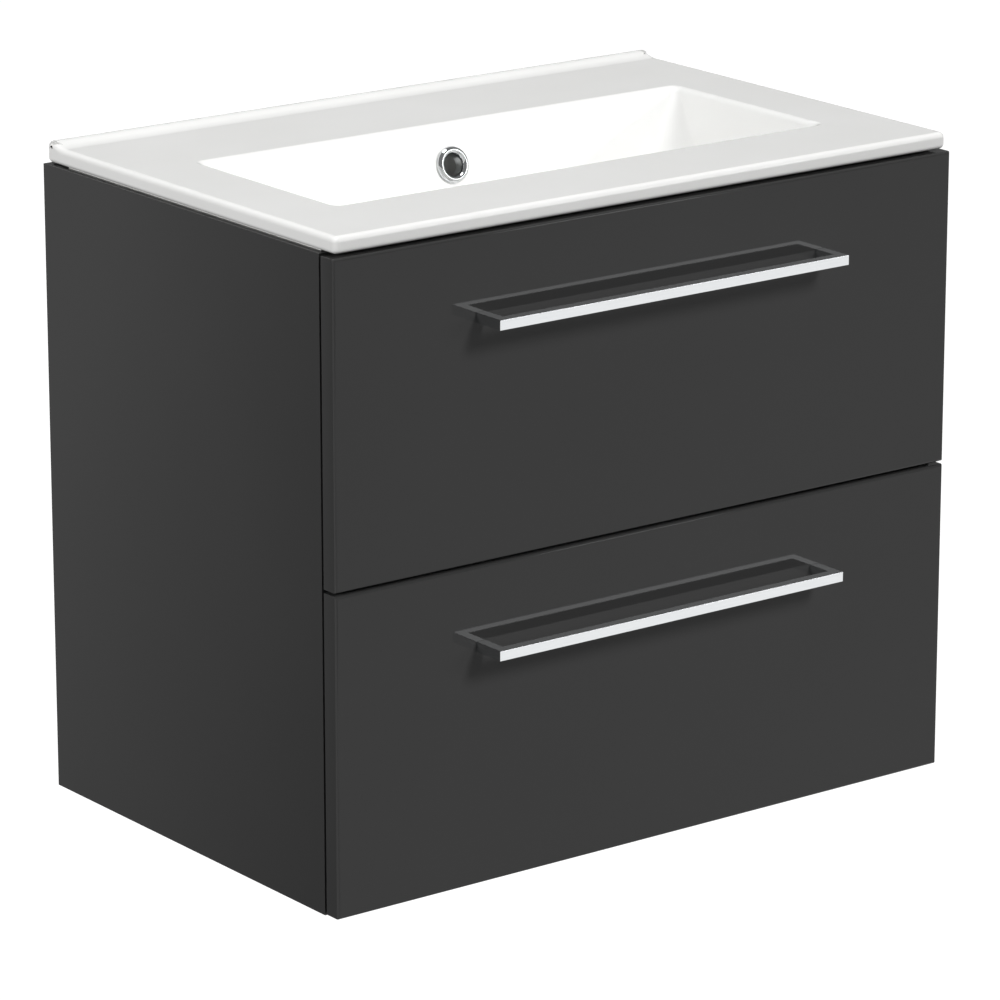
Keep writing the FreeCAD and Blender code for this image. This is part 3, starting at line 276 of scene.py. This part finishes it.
materials = {
    "gloss_front": glossLacquer(),
    "drawer_board": melamine(),
    "glazed_ceramic": glazedCeramic(),
    "die_cast_zinc": dieCastZinc(),
}
materials["carcass_board"] = materials["gloss_front"]
for slot, settings in finelyMarkedLooks.items():
    materials[slot] = finelyMarked(*settings)
slotOfNode = {part["node"]: part["material_slot"] for part in frame["record"]["subparts"]}
bodyOfNode = {node: item["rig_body"] for node, item in frame["nodes"].items()}
print("stage: materials")


def newObject(bm, name):
    mesh = bpy.data.meshes.new(name)
    bm.to_mesh(mesh)
    bm.free()
    piece = bpy.data.objects.new(name, mesh)
    bpy.context.scene.collection.objects.link(piece)
    return piece


# floor, backdrop and sky
onlyGlows = {"Base Color": (0, 0, 0, 1), "Specular IOR Level": 0.0, "Emission Color": (1, 1, 1, 1)}


def addSheet(name, material, size, place):
    bm = bmesh.new()
    bmesh.ops.create_grid(bm, x_segments=1, y_segments=1, size=size / 2)
    bmesh.ops.translate(bm, vec=place, verts=bm.verts)
    sheet = newObject(bm, name)
    sheet.data.materials.append(material)
    return sheet


def addFlag():
    # a glowing grey sheet on the floor at the left rear, there only to be mirrored: its glow fades from dim
    # to brighter across it and paints a darker, graded reflection that calms the side panel's gloss
    flag = {"size": 3.6, "place": (-2.0, 1.9, studio["floorHeight"] + 0.002),
            "across": (0.768, 0.578, 0), "from": -0.42, "to": -0.05, "dark": 0.15, "light": 0.62}
    made, tree, place, shader = newMaterial("glowingGreyReflectionCard", onlyGlows)
    across = addNode(tree, "VectorMath", {"operation": "DOT_PRODUCT"})
    tree.links.new(place, across.inputs[0])
    across.inputs[1].default_value = flag["across"]
    span = {"From Min": flag["from"], "From Max": flag["to"], "To Min": flag["dark"], "To Max": flag["light"]}
    # painted reflection: the sheet's glow strength fades from dim to brighter across it
    fade = addNode(tree, "MapRange", span, {"Value": across.outputs["Value"]})
    tree.links.new(fade.outputs["Result"], shader.inputs["Emission Strength"])
    cloth = addSheet("sideReflectionCard", made, flag["size"], flag["place"])
    cloth.visible_camera = False
    cloth.visible_diffuse = False
    cloth.visible_shadow = False


def addFloor():
    # back-lit white board: its own glow keeps the unit's shadow faint
    grey = studio["floorGrey"]
    glow = {"Base Color": (grey, grey, grey, 1), "Roughness": studio["floorRoughness"],
            "Specular IOR Level": 0.0, "Emission Color": hexColour(studio["floorColour"]),
            "Emission Strength": studio["floorGlow"]}
    board = newMaterial("paleStudioFloor", glow)[0]
    floor = addSheet("studioFloor", board, studio["floorSize"], (0, 0, studio["floorHeight"]))
    # it doesn't light the unit from below, so undersides and edges keep their shade
    floor.visible_diffuse = False
    world = bpy.data.worlds.new("studioWorld")
    world.use_nodes = True
    tree = world.node_tree
    sky = tree.nodes["Background"]
    place = addNode(tree, "TexCoord").outputs["Generated"]
    height = addNode(tree, "SeparateXYZ", {}, {"Vector": place}).outputs["Z"]
    blend = studio["horizonBlend"]
    rise = addNode(tree, "MapRange", {"From Min": -blend, "From Max": blend, "To Min": studio["underneath"],
                                      "To Max": studio["skyStrength"]}, {"Value": height})
    tree.links.new(rise.outputs["Result"], sky.inputs["Strength"])
    sky.inputs["Color"].default_value = (1, 1, 1, 1)
    bpy.context.scene.world = world


def addBackdrop():
    # plain white all round, seen only by the camera, for views that look past the floor's edge
    bm = bmesh.new()
    bmesh.ops.create_icosphere(bm, subdivisions=4, radius=studio["backdropRadius"])
    bmesh.ops.reverse_faces(bm, faces=bm.faces)
    cloth = newObject(bm, "whiteBackdrop")
    cloth.data.materials.append(newMaterial("whiteBackdropCloth", {**onlyGlows, "Emission Strength": 1.0})[0])
    cloth.visible_diffuse = False
    cloth.visible_glossy = False
    cloth.visible_transmission = False
    cloth.visible_shadow = False


addFloor()
addFlag()
addBackdrop()


# shared modelling steps and the limits they go by
hair = 0.0001           # edges and corners are found by where they lie, to within this
squareCorner = 60       # degrees: only right-angled edges are sharper
facing = 0.9            # how nearly a face looks along an axis


def finishPiece(piece, node):
    # smooth shading that keeps the flats flat, then the node's finish and body
    piece.data.shade_smooth()
    piece.data.materials.clear()
    piece.data.materials.append(materials[slotOfNode[node]])
    normals = piece.modifiers.new("flatFlats", "WEIGHTED_NORMAL")
    normals.weight = 100
    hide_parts(node)
    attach(piece, bodyOfNode[node])
    return piece


def addBox(bm, low, high):
    middle = (Vector(low) + Vector(high)) / 2
    size = Vector(high) - Vector(low)
    place = Matrix.Translation(middle) @ Matrix.Diagonal((*size, 1))
    return bmesh.ops.create_cube(bm, size=1, matrix=place)["verts"]


def roundEdges(bm, edges, radius, segments, clamp=True):
    bmesh.ops.bevel(bm, geom=edges, offset=radius, offset_type="OFFSET", affect="EDGES",
                    segments=segments, profile=0.5, material=-1, clamp_overlap=clamp)


def sharpEdges(bm, degrees):
    limit = math.radians(degrees)
    return [e for e in bm.edges if e.is_manifold and e.calc_face_angle(0) > limit]


def edgesBetween(bm, test):
    return [e for e in bm.edges if test(e.verts[0].co) and test(e.verts[1].co)]


# drawer fronts: solid boards with soft front edges
drawerFront = {"frontRadius": 0.0025, "frontSegments": 6, "backRadius": 0.0006, "backSegments": 2}


def makeDrawerFront(node):
    low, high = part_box(node)
    bm = bmesh.new()
    addBox(bm, low, high)
    onFront = edgesBetween(bm, lambda point: point.y < low.y + hair)
    roundEdges(bm, onFront, drawerFront["frontRadius"], drawerFront["frontSegments"])
    roundEdges(bm, sharpEdges(bm, squareCorner), drawerFront["backRadius"], drawerFront["backSegments"])
    return finishPiece(newObject(bm, node + "_lacquered"), node)


for level in ("upper", "lower"):
    makeDrawerFront(level + "_drawer_front")
print("stage: drawer fronts")


# bar handles: one square bar with a leg at each end
barHandle = {"barDepth": 0.009, "edgeRadius": 0.0004, "segments": 3}


def makeHandle(node):
    low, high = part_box(node)
    deep = barHandle["barDepth"]
    bm = bmesh.new()
    addBox(bm, low, (high.x, low.y + deep, high.z))
    for side in (-1, 1):
        bmesh.ops.bisect_plane(bm, geom=[*bm.verts, *bm.edges, *bm.faces],
                               plane_co=(side * (high.x - deep), 0, 0), plane_no=(1, 0, 0))
    ends = [f for f in bm.faces if f.normal.y > facing and abs(f.calc_center_median().x) > high.x - deep]
    legs = bmesh.ops.extrude_discrete_faces(bm, faces=ends)["faces"]
    bmesh.ops.translate(bm, vec=(0, high.y - low.y - deep, 0), verts=[v for f in legs for v in f.verts])
    bmesh.ops.recalc_face_normals(bm, faces=bm.faces)
    roundEdges(bm, sharpEdges(bm, squareCorner), barHandle["edgeRadius"], barHandle["segments"])
    return finishPiece(newObject(bm, node + "_bar"), node)


for level in ("upper", "lower"):
    makeHandle(level + "_handle")
print("stage: handles")


# basin: rings joined from the waste's underside, out round the slab and down into the bowl
basin = {
    "slabHeight": 0.0138,
    "slabCorner": 0.005,
    "cornerSegments": 12,
    "wall": 0.010,
    "topRadius": 0.0048,
    "topSegments": 8,
    "bottomRadius": 0.004,
    "bottomSegments": 6,
}
bowl = {
    "mouth": ((-0.241, -0.313), (0.241, -0.126)),
    "mouthCorner": 0.005,
    "mouthRadius": 0.005,
    "mouthSegments": 6,
    "floor": ((-0.226, -0.283), (0.226, -0.156)),
    "floorCorner": 0.055,
    "floorDepth": 0.100,
    "floorRadius": 0.012,
    "floorSegments": 8,
    "leastBend": 40,        # degrees, of an edge that gets rounded
}
waste = {
    "place": (0, -0.2195),
    "radius": 0.0225,
    "bossRadius": 0.033,
    "edgeRadius": 0.002,
    "edgeSegments": 4,
    "reach": 0.03,          # the waste's own edges lie nearer to its middle than this
}
upstand = {
    "height": 0.0038,
    "crest": 0.008,
    "foot": 0.020,
    "coveWidth": 0.006,
    "crestWidth": 0.003,
    "segments": 5,
}
overflow = {
    "radius": 0.0112,
    "reach": 0.020,
    "segments": 48,
    "ductHalf": 0.015,
    "ductDepth": 0.014,
    "ductWall": 0.006,
    "headroom": 0.004,
    "behindWall": 0.008,    # from the bowl's face to the duct's hollow
    "overlap": 0.005,       # from the bowl's face to the duct's casting, inside the bowl's wall
    "footReach": 0.024,     # the casting stops short of the waste's middle by this, its hollow does not
    "footRoof": 0.012,
}


def ring(corners, radius, height):
    return {"low": corners[0], "high": corners[1], "radius": radius, "height": height}


def circle(radius, height):
    # a ring whose straight sides have no length
    x, y = waste["place"]
    return ring(((x - radius, y - radius), (x + radius, y + radius)), radius, height)


def arcCentre(outline, across, along):
    x = outline["high"][0] - outline["radius"] if across > 0 else outline["low"][0] + outline["radius"]
    y = outline["high"][1] - outline["radius"] if along > 0 else outline["low"][1] + outline["radius"]
    return Vector((x, y, outline["height"]))


def startRing(bm, outline):
    (lowX, lowY), (highX, highY) = outline["low"], outline["high"]
    middle = Matrix.Translation(((lowX + highX) / 2, (lowY + highY) / 2, outline["height"]))
    place = middle @ Matrix.Diagonal((highX - lowX, highY - lowY, 1, 1))
    corners = bmesh.ops.create_grid(bm, x_segments=1, y_segments=1, size=0.5, matrix=place)["verts"]
    bmesh.ops.bevel(bm, geom=corners, offset=outline["radius"], offset_type="OFFSET", affect="VERTICES",
                    segments=basin["cornerSegments"], profile=0.5, material=-1)
    bmesh.ops.delete(bm, geom=bm.faces, context="FACES_ONLY")
    return bm.edges[:]


def growRing(bm, edges, old, new):
    # draws the ring out into a wall that ends as the new ring, each corner's arc scaled about its centre
    made = bmesh.ops.extrude_edge_only(bm, edges=edges)["geom"]
    points = [item for item in made if isinstance(item, bmesh.types.BMVert)]
    middle = Vector((*old["low"], 0)).lerp(Vector((*old["high"], 0)), 0.5)
    share = new["radius"] / old["radius"]
    isCircle = (arcCentre(old, 1, 1) - arcCentre(old, -1, -1)).length < hair
    for across, along in ((-1, -1), (-1, 1), (1, -1), (1, 1))[:1 if isCircle else 4]:
        arc = [v for v in points
               if isCircle or ((v.co.x - middle.x) * across > 0 and (v.co.y - middle.y) * along > 0)]
        centre = arcCentre(old, across, along)
        bmesh.ops.scale(bm, vec=(share, share, 1), space=Matrix.Translation(-centre), verts=arc)
        bmesh.ops.translate(bm, vec=arcCentre(new, across, along) - centre, verts=arc)
    return [item for item in made if isinstance(item, bmesh.types.BMEdge)]


def carve(piece, tool, operation):
    # cuts or joins a second closed shape, which is then thrown away
    step = piece.modifiers.new("carve", "BOOLEAN")
    step.operation = operation
    step.solver = "EXACT"
    step.object = tool
    graph = bpy.context.evaluated_depsgraph_get()
    mesh = bpy.data.meshes.new_from_object(piece.evaluated_get(graph))
    piece.modifiers.clear()
    piece.data = mesh
    bpy.data.objects.remove(tool)


def rounded(name, margin):
    low, high = bowl[name]
    corners = (low[0] - margin, low[1] - margin), (high[0] + margin, high[1] + margin)
    return corners, bowl[name + "Corner"] + margin


def rearWall():
    # how far the bowl's rear wall leans forward per metre down, and that as an angle
    slope = (bowl["floor"][1][1] - bowl["mouth"][1][1]) / bowl["floorDepth"]
    return slope, math.atan2(-slope, 1)


def makeSlabAndBowl(low, high, deck, under, bowlFloor):
    wall = basin["wall"]
    slab = ((low.x, low.y), (high.x, high.y))
    bm = bmesh.new()
    outlines = [
        ring(*rounded("floor", wall), bowlFloor - wall),
        ring(*rounded("mouth", wall), under),
        ring(slab, basin["slabCorner"], under),
        ring(slab, basin["slabCorner"], deck),
        ring(*rounded("mouth", 0), deck),
        ring(*rounded("floor", 0), bowlFloor),
        circle(waste["radius"], bowlFloor),
        circle(waste["radius"], low.z),
        circle(waste["bossRadius"], low.z),
        circle(waste["bossRadius"], bowlFloor - wall),
    ]
    firstEdges = edges = startRing(bm, outlines[0])
    for old, new in zip(outlines, outlines[1:]):
        edges = growRing(bm, edges, old, new)
    growRing(bm, firstEdges, outlines[0], outlines[-1])
    bmesh.ops.remove_doubles(bm, verts=bm.verts, dist=hair / 10)
    bmesh.ops.recalc_face_normals(bm, faces=bm.faces)

    def sharpAt(height):
        return [e for e in sharpEdges(bm, bowl["leastBend"])
                if all(abs(v.co.z - height) < hair for v in e.verts)]

    wasteAt = Vector((*waste["place"], bowlFloor))
    wasteEdges = [e for e in sharpAt(bowlFloor) if (e.verts[0].co - wasteAt).length < waste["reach"]]
    roundEdges(bm, wasteEdges, waste["edgeRadius"], waste["edgeSegments"])
    floorEdges = [e for e in sharpAt(bowlFloor) if (e.verts[0].co - wasteAt).length > waste["reach"]]
    roundEdges(bm, floorEdges, bowl["floorRadius"], bowl["floorSegments"])
    (left, front), (right, back) = bowl["mouth"]
    brink = [e for e in sharpAt(deck) if all(left - hair < v.co.x < right + hair
                                             and front - hair < v.co.y < back + hair for v in e.verts)]
    roundEdges(bm, brink, bowl["mouthRadius"], bowl["mouthSegments"])

    # the upstand along the wall: two cuts across the slab, the strip behind them raised
    for line in (upstand["foot"], upstand["crest"]):
        bmesh.ops.bisect_plane(bm, geom=[*bm.verts, *bm.edges, *bm.faces],
                               plane_co=(0, -line, 0), plane_no=(0, 1, 0))
    crest = [v for v in bm.verts if v.co.z > deck - hair and v.co.y > -upstand["crest"] - hair]
    bmesh.ops.translate(bm, vec=(0, 0, upstand["height"]), verts=crest)
    foot = edgesBetween(bm, lambda p: abs(p.y + upstand["foot"]) < hair and p.z > deck - hair)
    roundEdges(bm, foot, upstand["coveWidth"], upstand["segments"])
    halfUp = deck + upstand["height"] / 2
    brow = edgesBetween(bm, lambda p: abs(p.y + upstand["crest"]) < hair and p.z > halfUp)
    roundEdges(bm, brow, upstand["crestWidth"], upstand["segments"])
    return newObject(bm, "basin_glazed")


def makeDuct(outside, mouth, deck, bowlFloor):
    # the overflow's way down the back of the bowl and under its floor: either its casting or its hollow
    slope = rearWall()[0]
    half, skin = overflow["ductHalf"], overflow["ductWall"] if outside else 0
    wallTop = bowl["mouth"][1][1]
    back = wallTop + overflow["ductDepth"]
    top = mouth.z + overflow["radius"] + overflow["headroom"] + skin
    bottom = bowlFloor - basin["wall"] - overflow["ductDepth"] - skin
    front = overflow["overlap"] if outside else overflow["behindWall"]
    bm = bmesh.new()
    upright = addBox(bm, (-half - skin, wallTop, bottom), (half + skin, back + skin, top))
    for v in upright:
        if v.co.y < back - hair:
            v.co.y = wallTop + front + slope * (deck - max(v.co.z, bowlFloor))
    duct = newObject(bm, "duct")
    start = waste["place"][1] + (overflow["footReach"] if outside else 0)
    roof = bowlFloor - (overflow["overlap"] if outside else overflow["footRoof"])
    bottom += 0 if outside else hair    # no face of the foot's lies in one of the upright's
    bm = bmesh.new()
    addBox(bm, (-half - skin, start, bottom), (half + skin, back + skin - 10 * hair, roof))
    carve(duct, newObject(bm, "foot"), "UNION")
    return duct


def makeBasin():
    low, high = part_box("basin")
    deck = high.z - upstand["height"]
    under = deck - basin["slabHeight"]
    bowlFloor = deck - bowl["floorDepth"]
    casting = makeSlabAndBowl(low, high, deck, under, bowlFloor)
    ringLow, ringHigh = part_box("overflow_ring")
    mouth = (ringLow + ringHigh) / 2
    passage = makeDuct(True, mouth, deck, bowlFloor)
    hollow = makeDuct(False, mouth, deck, bowlFloor)
    tilt = rearWall()[1]
    bm = bmesh.new()
    aim = Matrix.Translation((0, mouth.y, mouth.z)) @ Matrix.Rotation(math.radians(90) - tilt, 4, "X")
    bmesh.ops.create_cone(bm, cap_ends=True, segments=overflow["segments"], radius1=overflow["radius"],
                          radius2=overflow["radius"], depth=2 * overflow["reach"], matrix=aim)
    carve(hollow, newObject(bm, "bore"), "UNION")
    carve(casting, passage, "UNION")
    carve(casting, hollow, "DIFFERENCE")

    # last the slab's own edges, which the corner arcs are just wide enough for
    bm = bmesh.new()
    bm.from_mesh(casting.data)
    near = 5 * hair
    rim = [e for e in sharpEdges(bm, squareCorner) if min(v.co.z for v in e.verts) > deck - near]
    roundEdges(bm, rim, basin["topRadius"], basin["topSegments"], False)
    foot = [e for e in sharpEdges(bm, squareCorner)
            if e.is_convex and all(abs(v.co.z - under) < near for v in e.verts)]
    roundEdges(bm, foot, basin["bottomRadius"], basin["bottomSegments"], False)
    bm.to_mesh(casting.data)
    bm.free()
    return finishPiece(casting, "basin")


makeBasin()
print("stage: basin")


# overflow ring: a domed chrome collar, spun round the overflow's axis
overflowRing = {
    "outer": 0.0155,
    "inner": 0.009,
    "proud": 0.004,
    "collar": 0.008,
    "steps": 64,
    "domeSteps": 14,
    "edgeRadius": 0.0003,
    "edgeSegments": 2,
}


def makeOverflowRing():
    low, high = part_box("overflow_ring")
    tilt = rearWall()[1]
    outer, inner, proud = overflowRing["outer"], overflowRing["inner"], overflowRing["proud"]
    collar, domeSteps = overflowRing["collar"], overflowRing["domeSteps"]
    bm = bmesh.new()
    turns = [math.radians(180 * step / domeSteps) for step in range(domeSteps, -1, -1)]
    middle, half = (inner + outer) / 2, (outer - inner) / 2
    dome = [(middle + half * math.cos(turn), proud * math.sin(turn)) for turn in turns]
    neck = overflow["radius"] - hair
    path = [(inner, -collar), *dome, (neck, 0), (neck, -collar)]
    corners = [bmesh.ops.create_vert(bm, co=(radius, 0, height))["vert"][0] for radius, height in path]
    edges = [bm.edges.new(pair) for pair in zip(corners, corners[1:] + corners[:1])]
    bmesh.ops.spin(bm, geom=edges + corners, cent=(0, 0, 0), axis=(0, 0, 1), angle=math.radians(360),
                   steps=overflowRing["steps"], use_merge=True)
    bmesh.ops.recalc_face_normals(bm, faces=bm.faces)
    roundEdges(bm, sharpEdges(bm, squareCorner), overflowRing["edgeRadius"], overflowRing["edgeSegments"])
    # the collar's root lies on the bowl's rear wall, at the middle of the node
    normal = Vector((0, -math.cos(tilt), math.sin(tilt)))
    root = (low + high) / 2 - normal * (proud - collar) / 2
    turn = Matrix.Translation((0, root.y, root.z)) @ Matrix.Rotation(math.radians(90) - tilt, 4, "X")
    bmesh.ops.transform(bm, matrix=turn, verts=bm.verts)
    return finishPiece(newObject(bm, "overflow_ring_chromed"), "overflow_ring")


makeOverflowRing()
print("stage: overflow ring")


# boards and pressings: the node's own outline with its sharp edges eased
easing = {"mergeWithin": 0.000001, "flatWithin": 1, "sharperThan": 50, "segments": 2}   # metres, degrees
easedEdge = {
    "carcass_board": 0.0005,
    "drawer_board": 0.0006,
    "zinc_plated_steel": 0.00025,
    "white_plastic": 0.0004,
}


def easeNode(node, radius):
    bm = bmesh.new()
    bm.from_mesh(frame["nodes"][node].data)
    bmesh.ops.remove_doubles(bm, verts=bm.verts, dist=easing["mergeWithin"])
    flat = math.radians(easing["flatWithin"])
    bmesh.ops.dissolve_limit(bm, angle_limit=flat, verts=bm.verts, edges=bm.edges)
    roundEdges(bm, sharpEdges(bm, easing["sharperThan"]), radius, easing["segments"])
    return finishPiece(newObject(bm, node + "_eased"), node)


replaced = {"basin", "overflow_ring",
            "upper_drawer_front", "lower_drawer_front", "upper_handle", "lower_handle"}
for node in sorted(frame["nodes"]):
    if node not in replaced and slotOfNode[node] in easedEdge:
        easeNode(node, easedEdge[slotOfNode[node]])
        replaced.add(node)
for node, item in frame["nodes"].items():
    if node not in replaced:
        item.data.materials.clear()
        item.data.materials.append(materials[slotOfNode[node]])
print("stage: boards, runners and fittings,", len(replaced), "nodes replaced")
